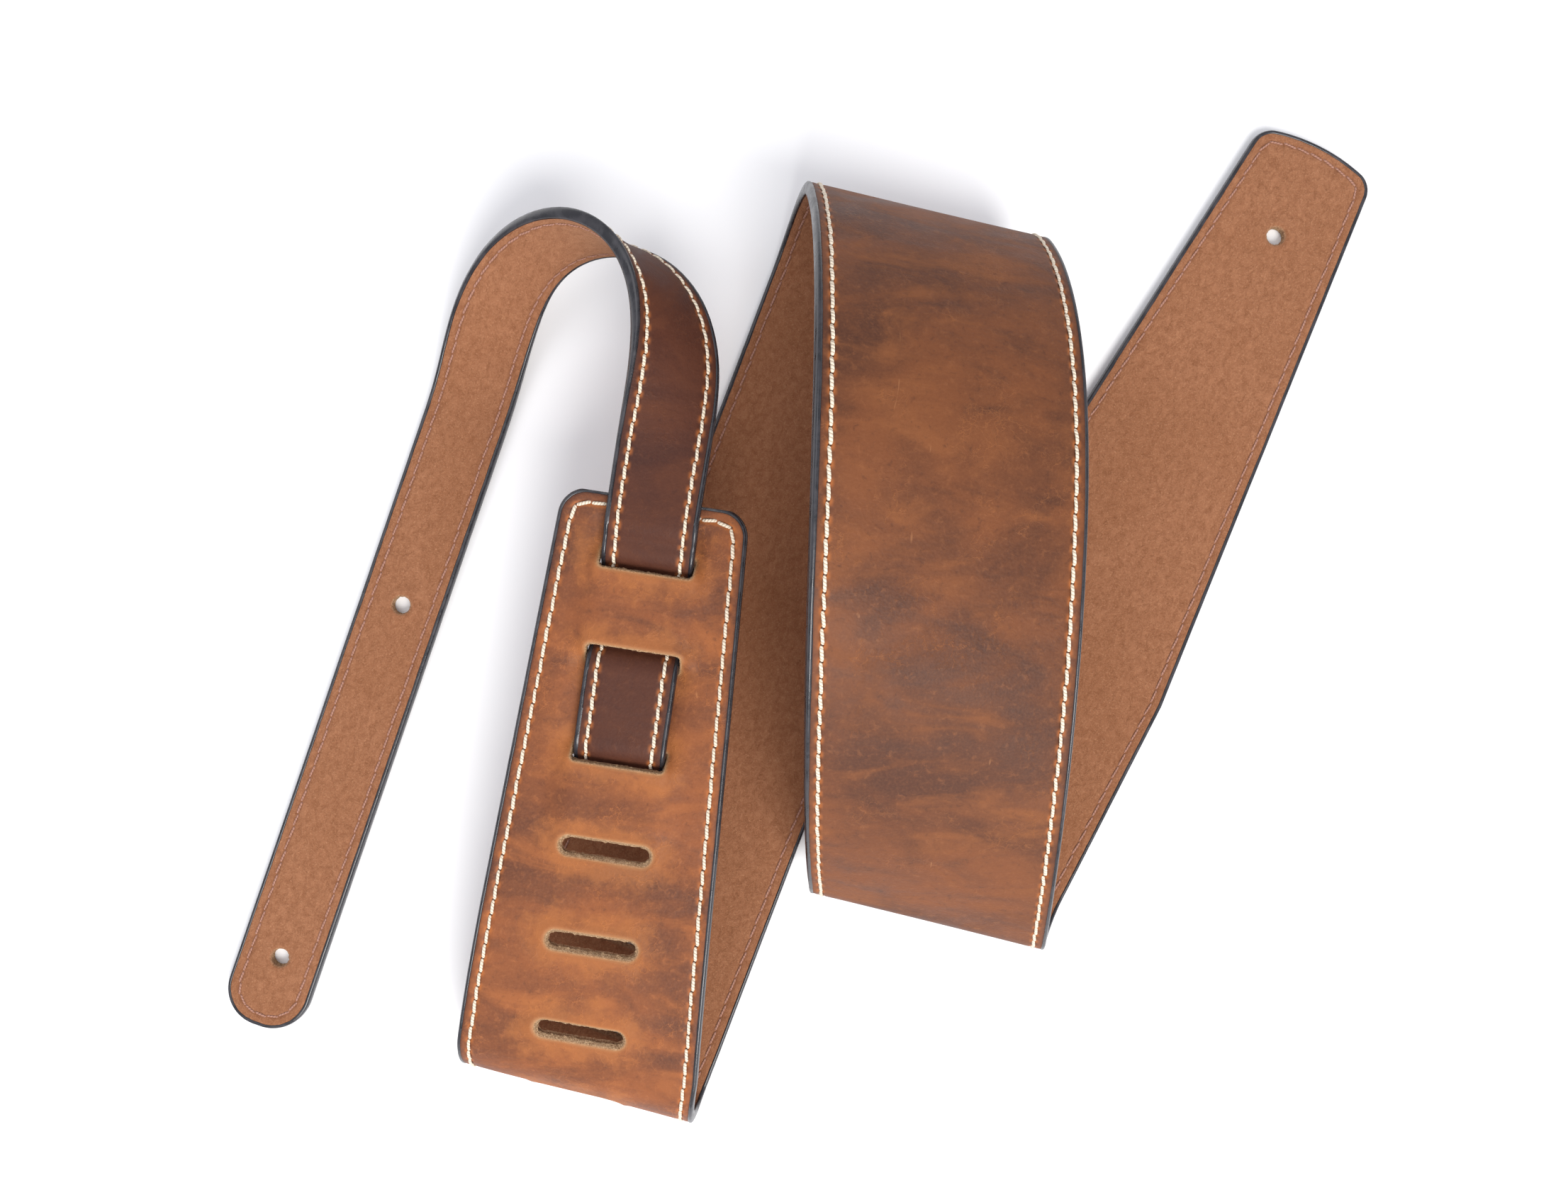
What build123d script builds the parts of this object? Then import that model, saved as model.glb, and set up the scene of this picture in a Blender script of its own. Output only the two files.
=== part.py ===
"""Two-ply leather guitar strap with a slotted end, a woven tail and a tapered tongue.

The strap lies on a level surface, folded in three.  Every soft piece is followed as a walk of
straight runs and curls, so all places come from cut lengths, fold radii and headings.
"""
import math
import os
from collections import namedtuple
from build123d import *

# ---- leather, paint and thread, mm ----
FACE = 1.9                # smooth leather ply
LINING = 1.3              # suede ply
PAINT = 0.35              # edge coat
SEAM_INSET = 2.6          # strap edge to the near side of the thread
THREAD_WIDTH = 0.9        # on the smooth face
THREAD_DEPTH = 0.45
BOBBIN_WIDTH = 0.6        # on the suede
BOBBIN_DEPTH = 0.3

# ---- main strap, mm ----
STRAP_WIDTH = 64.0
SLOT_END_WIDTH = 47.0
SLOTTED_TAPER = 150.0     # cut length over which the slotted end widens
SLOT_END_CORNER = 7.0
SLOT_COUNT = 9
SLOT_PITCH = 25.0
SLOT_SETBACK = 15.9       # slotted end to the first slot's middle
TONGUE_WIDTH = 34.7
TONGUE_CORNER = 6.0
TONGUE_BULGE = 3.0        # how far the tongue's end edge bows out
TONGUE_TAPER = 157.9      # cut length over which the strap narrows to the tongue
BUTTON_HOLE = 5.0         # diameter of all three button holes
TONGUE_HOLE_SETBACK = 25.0

# ---- tail, mm ----
TAIL_WIDTH = 23.0
TAIL_CORNER = 5.0         # at the end hidden under the slotted end
TAIL_TIP_FLAT = 2.0       # straight part in the middle of the round tip
TAIL_HOLE_SETBACK = 20.0
TAIL_HOLE_PITCH = 105.0
TAIL_HIDDEN = 17.0        # past the third slot's middle

# ---- how it lies, mm and degrees (headings from +Y towards +X) ----
SLOTTED_RUN = 109.1       # flat part of the slotted end
SLOTTED_DROP = 4.0        # slope at which it comes down towards its fold
SHOULDER_TURN = 14.0      # gentle curl before that fold
SHOULDER_RADIUS = 164.0
LOW_FOLD_TOP_RADIUS = 18.0
LOW_FOLD_BASE_RADIUS = 6.0
MIDDLE_RUN = 226.2
FAR_FOLD_RADIUS = 20.0
NEAR_FOLD_RADIUS = 11.8
ARCH_RISE = 62.8          # slope at which the arched run leaves the far fold
ARCH_FALL = 56.5          # slope at which it comes down to the near fold
ARCH_FAR_RADIUS = 81.8
ARCH_CREST = 1.0          # half the level stretch at the top of the arch
ARCH_LEAN = 0.134         # how much taller the arch is at its left edge
TONGUE_RUN = 162.8        # from its fold to its flex line
TONGUE_FREE = 62.0        # from its flex line to its end
MIDDLE_HEADING = 12.1     # the slotted end lies at heading 0
ARCH_HEADING = -6.9
TONGUE_HEADING = 18.5
WEAVE_SLOPE = 50.0        # how steeply the tail passes through a slot
STEP_SLOPE = 30.0         # how steeply it climbs onto the slotted end's edge
LOOP_LEAD = 3.0           # the loop starts this far before the slotted end's edge
LOOP_LENGTH = 157.6
LOOP_TURN = 169.8
LOOP_TURN_START = 0.139   # share of the loop before it turns; it rolls all along
LOOP_TURN_SHARE = 0.773   # share of the loop in which it turns
TAIL_RUN = 30.7           # from the loop to the flex line
TAIL_FREE = 148.0         # from the flex line to the tip

# ---- fits, mm ----
SLOT_CLEARANCE = 2.2      # slot width beyond the strap's thickness
SLOT_SIDE_CLEARANCE = 0.75
WEAVE_GAP = 0.3           # between the tail and the slotted end
BRIDGE_RAMP = 4.0         # leather at each side of a bridge that slopes to it
END_BAND = 5.0            # slotted end's edge, left level beyond the first bridge
STRETCHED_CORNER = 1.0    # corners of the slots that the tail holds open
FLEX_GAP = 0.3            # between a free end and the rest

# ---- worked out ----
THICKNESS = FACE + LINING
SLOT_WIDTH = THICKNESS + SLOT_CLEARANCE
SLOT_LENGTH = TAIL_WIDTH + 2 * SLOT_SIDE_CLEARANCE
SHIFT = (THICKNESS + WEAVE_GAP) / 2  # a bridge moves one way by this, the tail the other
FOLD_STEPS = 12
GENTLE_STEPS = 5
LOOP_STEPS = 30
END_PLATE = 12.0          # flat piece that holds the slotted end's corners
HIDDEN_PLATE = 8.0        # the same at the tail's hidden end
THREADED_SLOTS = 3        # slots that the tail passes through
OVERRUN = 5.0             # a plate's outline goes on past its root before it is cut there

UP = Vector(0, 0, 1)
Station = namedtuple("Station", "distance point across normal along square")
End = namedtuple("End", "plane root_width end_width length corner bulge")


def turned(vector, axis, angle):
    """The vector, turned about an axis direction by degrees."""
    return vector.rotate(Axis((0, 0, 0), axis), angle)


def level(heading):
    """Horizontal unit vector at a heading."""
    angle = math.radians(heading)
    return Vector(math.sin(angle), math.cos(angle), 0)


def ease(share):
    """Smooth step from 0 to 1."""
    share = min(max(share, 0.0), 1.0)
    return share * share * (3 - 2 * share)


class Walk:
    """Follows the interface between the plies and lays a station at each ruling it crosses."""

    def __init__(self, point, along, across):
        self.point = point
        self.along = along
        self.across = across
        self.distance = 0.0
        self.stations = []

    def normal(self):
        """Outward direction of the smooth face."""
        return self.across.cross(self.along).normalized()

    def plane(self, backwards=False):
        """Plane of the leather here, with Y along the walk, or against it."""
        across = self.across * (-1 if backwards else 1)
        return Plane(origin=self.point, x_dir=across, z_dir=self.normal())

    def mark(self, skew=0.0, lean=0.0):
        """Lays a station on a ruling skewed by degrees and raised at its right by lean."""
        ruling = self.across + self.along * math.tan(math.radians(skew))
        ruling = ruling + UP * (lean * (self.point.Z - FACE) / (STRAP_WIDTH / 2))
        unit = ruling.normalized()
        normal = self.normal()
        normal = (normal - unit * normal.dot(unit)).normalized()
        if self.stations and self.stations[-1].distance == self.distance:
            self.stations.pop()
        self.stations.append(
            Station(self.distance, self.point, ruling, normal, self.along, self.across)
        )

    def run(self, length):
        """Goes straight on."""
        self.point = self.point + self.along * length
        self.distance += length

    def curl(self, turn, radius, steps, skew=0.0, lean=0.0):
        """Curls about skewed rulings, towards the suede, or the face if turn is negative."""
        angle = math.radians(skew)
        part = turn / steps
        half = math.radians(abs(part)) / 2
        arc = 2 * half * radius
        for _ in range(steps):
            ruling = self.across * math.cos(angle) + self.along * math.sin(angle)
            middle = turned(self.along, ruling, -part / 2)
            forward = (middle - ruling * middle.dot(ruling)).normalized()
            self.point = self.point + forward * (2 * radius * math.sin(half))
            self.point = self.point + ruling * (arc * math.tan(angle))
            self.along = turned(self.along, ruling, -part)
            self.across = turned(self.across, ruling, -part)
            self.distance += arc / math.cos(angle)
            self.mark(skew, lean)

    def weave(self, rise, slope):
        """Makes an S-bend that rises towards the face, or drops if rise is negative."""
        radius = weave_radius(rise, slope)
        side = -1 if rise > 0 else 1
        self.mark()
        self.curl(side * slope, radius, GENTLE_STEPS)
        self.curl(-side * slope, radius, GENTLE_STEPS)

    def plane_at(self, distance):
        """Plane of the leather at a distance, with Y along the walk."""
        before = [s for s in self.stations if s.distance <= distance][-1]
        after = [s for s in self.stations if s.distance > distance][0]
        share = (distance - before.distance) / (after.distance - before.distance)
        point = before.point + (after.point - before.point) * share
        along = before.along + (after.along - before.along) * share
        across = before.square + (after.square - before.square) * share
        return Plane(origin=point, x_dir=across, z_dir=across.cross(along))

    def loop(self, length, turn, steps, end_height):
        """Turns left standing on its right edge, and comes down rolled right over."""
        start_height = self.point.Z

        def height(share):
            base = start_height + (end_height - start_height) * ease(share)
            return base + TAIL_WIDTH / 2 * math.sin(math.pi * ease(share))

        def heading(share):
            return -turn * ease((share - LOOP_TURN_START) / LOOP_TURN_SHARE)

        step = length / steps
        for index in range(steps):
            share = index / steps
            nearly = (index + 0.5) / steps
            after = (index + 1) / steps
            climb = (height(after) - height(share)) / step
            flat = math.sqrt(1 - climb * climb)
            self.point = self.point + (level(heading(nearly)) * flat + UP * climb) * step
            self.distance += step
            roll = math.radians(180 * ease(after))
            right = level(heading(after) + 90)
            self.across = right * math.cos(roll) - UP * math.sin(roll)
            forward = level(heading(after)) * flat + UP * climb
            self.along = (forward - self.across * forward.dot(self.across)).normalized()
            if index == steps - 1:
                self.along = level(-turn)
            self.mark()


def weave_radius(rise, slope):
    """Radius of an S-bend's two arcs."""
    return abs(rise) / (2 * (1 - math.cos(math.radians(slope))))


def slot_distance(number):
    """Distance from the slotted end to the middle of a slot, counted from 1."""
    return SLOT_SETBACK + (number - 1) * SLOT_PITCH


def main_width(distance, length):
    """Cut width of the main strap, which narrows to both its ends."""
    slotted = min(distance / SLOTTED_TAPER, 1)
    tongue = min((length - distance) / TONGUE_TAPER, 1)
    from_slotted = SLOT_END_WIDTH + (STRAP_WIDTH - SLOT_END_WIDTH) * slotted
    from_tongue = TONGUE_WIDTH + (STRAP_WIDTH - TONGUE_WIDTH) * tongue
    return min(from_slotted, from_tongue)


def lay_main():
    """Walks the main strap from its slotted end to the tongue's flex line."""
    skew = -MIDDLE_HEADING / 2
    drop = math.radians(SLOTTED_DROP)
    steep = math.cos(math.radians(SLOTTED_DROP + SHOULDER_TURN))
    height = FACE + LOW_FOLD_BASE_RADIUS + LOW_FOLD_TOP_RADIUS * steep
    height += SHOULDER_RADIUS * (math.cos(drop) - steep)
    height += SLOTTED_RUN * math.sin(drop) * math.cos(math.radians(skew))
    ruling = level(270) + level(180) * math.tan(math.radians(skew))
    along = turned(level(180), ruling, -SLOTTED_DROP)
    across = turned(level(270), ruling, -SLOTTED_DROP)
    walk = Walk(Vector(0, 0, height), along, across)
    slotted = walk.plane(backwards=True)
    walk.run(END_PLATE)
    walk.mark()
    root = walk.plane(backwards=True)
    walk.run(SLOTTED_RUN - END_PLATE)
    walk.mark(skew)
    walk.curl(SHOULDER_TURN, SHOULDER_RADIUS, GENTLE_STEPS, skew)
    walk.curl(90 - SLOTTED_DROP - SHOULDER_TURN, LOW_FOLD_TOP_RADIUS, FOLD_STEPS // 2, skew)
    walk.curl(90, LOW_FOLD_BASE_RADIUS, FOLD_STEPS // 2, skew)
    walk.run(MIDDLE_RUN)

    skew = (ARCH_HEADING - MIDDLE_HEADING) / 2
    walk.mark(skew)
    rise = math.cos(math.radians(ARCH_RISE))
    fall = math.cos(math.radians(ARCH_FALL))
    crest = FAR_FOLD_RADIUS * (1 + rise) + ARCH_FAR_RADIUS * (1 - rise)
    near_radius = (crest - NEAR_FOLD_RADIUS * (1 + fall)) / (1 - fall)
    walk.curl(180 - ARCH_RISE, FAR_FOLD_RADIUS, FOLD_STEPS, skew, ARCH_LEAN)
    walk.curl(ARCH_RISE, ARCH_FAR_RADIUS, GENTLE_STEPS, skew, ARCH_LEAN)
    walk.run(2 * ARCH_CREST)
    skew = (ARCH_HEADING - TONGUE_HEADING) / 2
    walk.mark(skew, ARCH_LEAN)
    walk.curl(ARCH_FALL, near_radius, GENTLE_STEPS, skew, ARCH_LEAN)
    walk.curl(180 - ARCH_FALL, NEAR_FOLD_RADIUS, FOLD_STEPS, skew, ARCH_LEAN)
    walk.run(TONGUE_RUN)
    walk.mark()
    flex = walk.plane()
    walk.run(FLEX_GAP)
    length = walk.distance + TONGUE_FREE
    ends = {
        "slotted": End(root, main_width(END_PLATE, length), SLOT_END_WIDTH, END_PLATE,
                       SLOT_END_CORNER, 0),
        "tongue": End(walk.plane(), main_width(walk.distance, length), TONGUE_WIDTH,
                      TONGUE_FREE, TONGUE_CORNER, TONGUE_BULGE),
    }
    return walk, ends, slotted, flex, length


def lay_tail(slotted):
    """Walks the tail from its hidden end, through three slots and the loop, to its flex line."""
    start = slot_distance(THREADED_SLOTS) + TAIL_HIDDEN
    under = slotted.from_local_coords(Vector(0, -start, -SHIFT))
    walk = Walk(under, slotted.y_dir, slotted.x_dir)

    def to_edge():
        """Distance left to the slotted end's edge."""
        return (slotted.origin - walk.point).dot(slotted.y_dir)

    walk.run(HIDDEN_PLATE)
    walk.mark()
    root = walk.plane(backwards=True)
    reach = weave_radius(2 * SHIFT, WEAVE_SLOPE) * math.sin(math.radians(WEAVE_SLOPE))
    rise = 2 * SHIFT
    for number in range(THREADED_SLOTS, 0, -1):
        walk.run(to_edge() - slot_distance(number) - reach)
        walk.weave(rise, WEAVE_SLOPE)
        rise = -rise
    walk.weave(SHIFT, STEP_SLOPE)
    walk.run(to_edge() - LOOP_LEAD)
    walk.mark()
    walk.loop(LOOP_LENGTH, LOOP_TURN, LOOP_STEPS, FACE)
    walk.run(TAIL_RUN)
    walk.mark()
    flex = walk.plane()
    walk.run(FLEX_GAP)
    ends = {
        "hidden": End(root, TAIL_WIDTH, TAIL_WIDTH, HIDDEN_PLATE, TAIL_CORNER, 0),
        "tip": End(walk.plane(), TAIL_WIDTH, TAIL_WIDTH, TAIL_FREE,
                   (TAIL_WIDTH - TAIL_TIP_FLAT) / 2, 0),
    }
    return walk, ends, flex


# ---- solids of one ply, seam or edge coat ----

def strip(stations, outline):
    """Closed strip through the stations; outline gives its corners (across, outward)."""
    with BuildPart() as piece:
        for station in stations:
            stretch = station.across.length
            across = station.across
            with BuildSketch(Plane(station.point, across, across.cross(station.normal))):
                with BuildLine():
                    corners = outline(station.distance)
                    Polyline(*[(x * stretch, y) for x, y in corners], close=True)
                make_face()
        loft(ruled=True)
    return piece.part


def end_face(end, inset):
    """Outline of an end, drawn in by an inset, from its root at Y = 0 to its tip."""
    slope = (end.root_width - end.end_width) / 2 / end.length
    back = end.root_width / 2 + slope * OVERRUN
    tip = end.end_width / 2
    with BuildSketch() as sketch:
        with BuildLine():
            Polyline((-tip, end.length), (-back, -OVERRUN), (back, -OVERRUN), (tip, end.length))
            if end.bulge:
                ThreePointArc((tip, end.length), (0, end.length + end.bulge), (-tip, end.length))
            else:
                Line((tip, end.length), (-tip, end.length))
        make_face()
        fillet(sketch.vertices().group_by(Axis.Y)[-1], end.corner)
        if inset:
            offset(amount=-inset)
        with Locations((0, end.length)):
            Rectangle(2 * STRAP_WIDTH, 2 * end.length, mode=Mode.INTERSECT)
    return sketch.sketch


def plate(end, outer, inner, low, high):
    """Flat layer of an end between two insets (inner None for no hole) and two heights."""
    with BuildPart() as piece:
        with BuildSketch(end.plane.offset(low)):
            add(end_face(end, outer))
            if inner is not None:
                add(end_face(end, inner), mode=Mode.SUBTRACT)
        extrude(amount=high - low)
    return piece.part


def ply_outline(half, base, outer, groove_out, groove_in, depth):
    """Section of a ply from its glued side at base to its outer side, with two grooves."""
    floor = outer - math.copysign(depth, outer)
    return [
        (-half, base), (half, base), (half, outer),
        (groove_out, outer), (groove_out, floor), (groove_in, floor), (groove_in, outer),
        (-groove_in, outer), (-groove_in, floor), (-groove_out, floor), (-groove_out, outer),
        (-half, outer),
    ]


def seam(width):
    """Insets of a seam's two sides from the strap's edge."""
    middle = SEAM_INSET + THREAD_WIDTH / 2
    return middle - width / 2, middle + width / 2


LAYERS = {
    "face": (FACE, THREAD_WIDTH, THREAD_DEPTH),
    "lining": (-LINING, BOBBIN_WIDTH, BOBBIN_DEPTH),
}


def ply_strip(layer, stations, width):
    """A ply along the stations; width gives the strap's width at a distance."""
    outer, groove, depth = LAYERS[layer]
    near, far = seam(groove)

    def outline(distance):
        half = width(distance) / 2
        return ply_outline(half - PAINT, 0, outer, half - near, half - far, depth)

    return strip(stations, outline)


def ply_plate(layer, end):
    """A ply at an end, with its seam's groove."""
    outer, groove, depth = LAYERS[layer]
    near, far = seam(groove)
    floor = outer - math.copysign(depth, outer)
    with BuildPart() as piece:
        add(plate(end, PAINT, None, min(0, outer), max(0, outer)))
        add(plate(end, near, far, min(floor, outer), max(floor, outer)), mode=Mode.SUBTRACT)
    return piece.part


def side_strips(stations, width, near, far, low, high):
    """A pair of strips along both edges, between two insets and two heights."""
    with BuildPart() as pair:
        for side in (-1, 1):
            def outline(distance):
                half = width(distance) / 2
                outer = side * (half - near)
                inner = side * (half - far)
                return [(inner, low), (outer, low), (outer, high), (inner, high)]

            add(strip(stations, outline))
    return pair.part


def soft_set(stations, width, end):
    """Plies, edge coat and threads of one stretch: strips, an end, or both joined."""
    insets = {
        "edge_coat": (0, PAINT, -LINING, FACE),
        "top_thread": (*seam(THREAD_WIDTH), FACE - THREAD_DEPTH, FACE),
        "bobbin_thread": (*seam(BOBBIN_WIDTH), -LINING, BOBBIN_DEPTH - LINING),
    }
    pieces = {}
    for layer in LAYERS:
        with BuildPart() as ply:
            add(ply_plate(layer, end))
            if stations:
                add(ply_strip(layer, stations, width))
        pieces[layer] = ply.part
    for name, (near, far, low, high) in insets.items():
        with BuildPart() as piece:
            add(plate(end, near, far, low, high))
            if stations:
                add(side_strips(stations, width, near, far, low, high))
        pieces[name] = piece.part
    return pieces


def holes(pieces, plane, setbacks):
    """Punches button holes through both plies on an end's middle line."""
    for layer in LAYERS:
        with BuildPart() as ply:
            add(pieces[layer])
            with BuildSketch(plane.offset(-THICKNESS)):
                with Locations(*[(0, setback) for setback in setbacks]):
                    Circle(BUTTON_HOLE / 2)
            extrude(amount=2 * THICKNESS, mode=Mode.SUBTRACT)
        pieces[layer] = ply.part


def slots(pieces, walk, slotted):
    """Cuts the slots, and bends the bridges that the tail is woven round."""
    gap = SLOT_WIDTH / 2
    bridges = [
        (slot_distance(3) + gap, slot_distance(4) - gap, SHIFT),
        (slot_distance(2) + gap, slot_distance(3) - gap, -SHIFT),
        (slot_distance(1) + gap, slot_distance(2) - gap, SHIFT),
        (END_BAND, slot_distance(1) - gap, -SHIFT),
    ]
    inner = SLOT_LENGTH / 2
    outer = inner + BRIDGE_RAMP
    for layer in LAYERS:
        low, high = sorted((0, LAYERS[layer][0]))
        with BuildPart() as ply:
            add(pieces[layer])
            for start, end, shift in bridges:
                section = Plane(slotted.origin, slotted.x_dir, -slotted.y_dir).offset(start)
                lifted = [(-outer, low), (-inner, low + shift), (inner, low + shift),
                          (outer, low), (outer, high), (inner, high + shift),
                          (-inner, high + shift), (-outer, high)]
                with BuildSketch(section):
                    Rectangle(2 * outer, 4 * THICKNESS)
                extrude(amount=end - start, mode=Mode.SUBTRACT)
                with BuildSketch(section):
                    with BuildLine():
                        Polyline(*lifted, close=True)
                    make_face()
                extrude(amount=end - start)
            for number in range(1, SLOT_COUNT + 1):
                plane = walk.plane_at(slot_distance(number)).offset(-2 * THICKNESS)
                with BuildSketch(plane):
                    if number <= THREADED_SLOTS:
                        RectangleRounded(SLOT_LENGTH, SLOT_WIDTH, STRETCHED_CORNER)
                    else:
                        SlotOverall(SLOT_LENGTH, SLOT_WIDTH)
                extrude(amount=4 * THICKNESS, mode=Mode.SUBTRACT)
        pieces[layer] = ply.part


def describe(label, plane, centre):
    """Prints where a hinge or hole is in the finished part."""
    values = [*(plane.origin - centre), *plane.x_dir, *plane.z_dir]
    print(label, *[round(value, 4) for value in values])


# ---- the strap ----

main, main_ends, slotted_end, tongue_flex, main_length = lay_main()
tail, tail_ends, tail_flex = lay_tail(slotted_end)


def main_taper(distance):
    """Width of the main strap at a distance from its slotted end."""
    return main_width(distance, main_length)


def tail_taper(_distance):
    """The tail keeps one width."""
    return TAIL_WIDTH


sets = {
    "main": soft_set(main.stations, main_taper, main_ends["slotted"]),
    "tongue": soft_set([], main_taper, main_ends["tongue"]),
    "tail": soft_set(tail.stations, tail_taper, tail_ends["hidden"]),
    "tail_tip": soft_set([], tail_taper, tail_ends["tip"]),
}
slots(sets["main"], main, slotted_end)
holes(sets["tongue"], main_ends["tongue"].plane, [TONGUE_FREE - TONGUE_HOLE_SETBACK])
first_hole = TAIL_FREE - TAIL_HOLE_SETBACK
holes(sets["tail_tip"], tail_ends["tip"].plane, [first_hole, first_hole - TAIL_HOLE_PITCH])

boxes = [piece.bounding_box() for pieces in sets.values() for piece in pieces.values()]
box = boxes[0]
for other in boxes[1:]:
    box = box.add(other)
centre = Vector((box.min.X + box.max.X) / 2, (box.min.Y + box.max.Y) / 2, 0)
os.makedirs("parts", exist_ok=True)
for stretch, pieces in sets.items():
    for kind, piece in pieces.items():
        moved = piece.moved(Location(-centre))
        moved.label = f"{stretch}_{kind}"
        export_step(moved, f"parts/{stretch}_{kind}.step")

print("size", *[round(v, 2) for v in box.size], "lowest", round(box.min.Z, 3))
print("cut lengths", round(main_length, 1), round(tail.distance + TAIL_FREE, 1))
describe("slotted_end", slotted_end, centre)
describe("tongue_flex", tongue_flex, centre)
describe("tail_flex", tail_flex, centre)
describe("tongue_root", main_ends["tongue"].plane, centre)
describe("tip_root", tail_ends["tip"].plane, centre)
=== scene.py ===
"""Looks of a two-ply leather guitar strap, folded in three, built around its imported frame.

Every piece is drawn flat, in millimetres across (u) and along (s) the strap with its height (n)
over the glue line, and then bent along the walk on which the strap lies.
"""

import math

import bpy
import numpy as np
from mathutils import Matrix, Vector
from mathutils.geometry import delaunay_2d_cdt


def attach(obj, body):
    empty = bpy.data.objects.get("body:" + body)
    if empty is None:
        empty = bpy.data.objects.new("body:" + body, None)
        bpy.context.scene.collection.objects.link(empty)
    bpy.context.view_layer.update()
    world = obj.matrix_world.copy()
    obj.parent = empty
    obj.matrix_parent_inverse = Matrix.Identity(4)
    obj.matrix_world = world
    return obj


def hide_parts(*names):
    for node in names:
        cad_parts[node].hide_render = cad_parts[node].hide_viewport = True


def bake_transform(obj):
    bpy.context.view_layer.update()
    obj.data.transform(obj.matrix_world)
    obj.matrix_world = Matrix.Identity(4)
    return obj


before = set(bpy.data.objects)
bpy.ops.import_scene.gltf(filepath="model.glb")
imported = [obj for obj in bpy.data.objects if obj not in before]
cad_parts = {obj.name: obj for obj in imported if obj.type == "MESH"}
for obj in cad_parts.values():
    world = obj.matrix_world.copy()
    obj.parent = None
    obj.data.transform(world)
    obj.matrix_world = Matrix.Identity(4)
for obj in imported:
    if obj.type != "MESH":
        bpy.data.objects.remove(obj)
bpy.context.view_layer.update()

MM = 0.001
CENTRE = np.array([39.048, -17.463, 0.0])   # the frame's origin, from the slotted end's tip
RANDOM = np.random.default_rng(11)

# ---- leather, seams and cut sizes, mm ----
FACE, LINING = 1.9, 1.3
THICKNESS = FACE + LINING
SEAM = 3.05                 # strap edge to the middle of the seam
MAIN_PITCH, TAIL_PITCH = 4.0, 3.6
STRAP_WIDTH, SLOT_END_WIDTH, TONGUE_WIDTH = 64.0, 47.0, 34.7
SLOTTED_TAPER, TONGUE_TAPER = 150.0, 157.9
SLOT_PITCH, SLOT_SETBACK, SLOT_COUNT, THREADED = 25.0, 15.9, 9, 3
SLOT_HALF_LENGTH, SLOT_HALF_WIDTH = 12.0, 2.55
TAIL_WIDTH = 23.0
TONGUE_FREE, TAIL_FREE, FLEX_GAP = 62.0, 148.0, 0.3
TONGUE_HOLE, TAIL_HOLE, TAIL_HOLE_PITCH, HOLE_RADIUS = 25.0, 20.0, 105.0, 2.5
TAIL_HIDDEN, END_BAND = 17.0, 5.0
SHIFT = (THICKNESS + 0.3) / 2

# ---- how it lies, mm and degrees ----
SLOTTED_RUN, SLOTTED_DROP = 109.1, 4.0
SHOULDER_TURN, SHOULDER_RADIUS = 14.0, 164.0
LOW_TOP_RADIUS, LOW_BASE_RADIUS = 18.0, 6.0
MIDDLE_RUN, TONGUE_RUN = 226.2, 162.8
FAR_RADIUS, NEAR_RADIUS = 20.0, 11.8
ARCH_RISE, ARCH_FALL, ARCH_FAR, ARCH_CREST, ARCH_LEAN = 62.8, 56.5, 81.8, 1.0, 0.134
MIDDLE_HEADING, ARCH_HEADING, TONGUE_HEADING = 12.1, -6.9, 18.5
WEAVE_SLOPE, STEP_SLOPE = 50.0, 30.0
LOOP_LEAD, LOOP_LENGTH, LOOP_TURN, TAIL_RUN = 3.0, 157.6, 169.8, 30.7
LOOP_START, LOOP_SHARE = 0.139, 0.773

# ---- how finely a walk is marked ----
END_PLATE, HIDDEN_PLATE = 12.0, 8.0   # straight starts of the slotted end and of the tail
PAST_END = 6.0                        # a walk goes on so far past its free end
SHOULDER_STEPS, FOLD_STEPS, ARCH_STEPS, WEAVE_STEPS, LOOP_STEPS = 12, 36, 20, 8, 90

UP = np.array([0.0, 0.0, 1.0])


def unit(vector):
    return vector / np.linalg.norm(vector)


def turned(vector, axis, angle):
    """The vector turned about a unit axis by degrees."""
    c, s = math.cos(math.radians(angle)), math.sin(math.radians(angle))
    return vector * c + np.cross(axis, vector) * s + axis * np.dot(axis, vector) * (1 - c)


def level(heading):
    a = math.radians(heading)
    return np.array([math.sin(a), math.cos(a), 0.0])


def ease(share):
    share = np.clip(share, 0.0, 1.0)
    return share * share * (3 - 2 * share)


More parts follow.
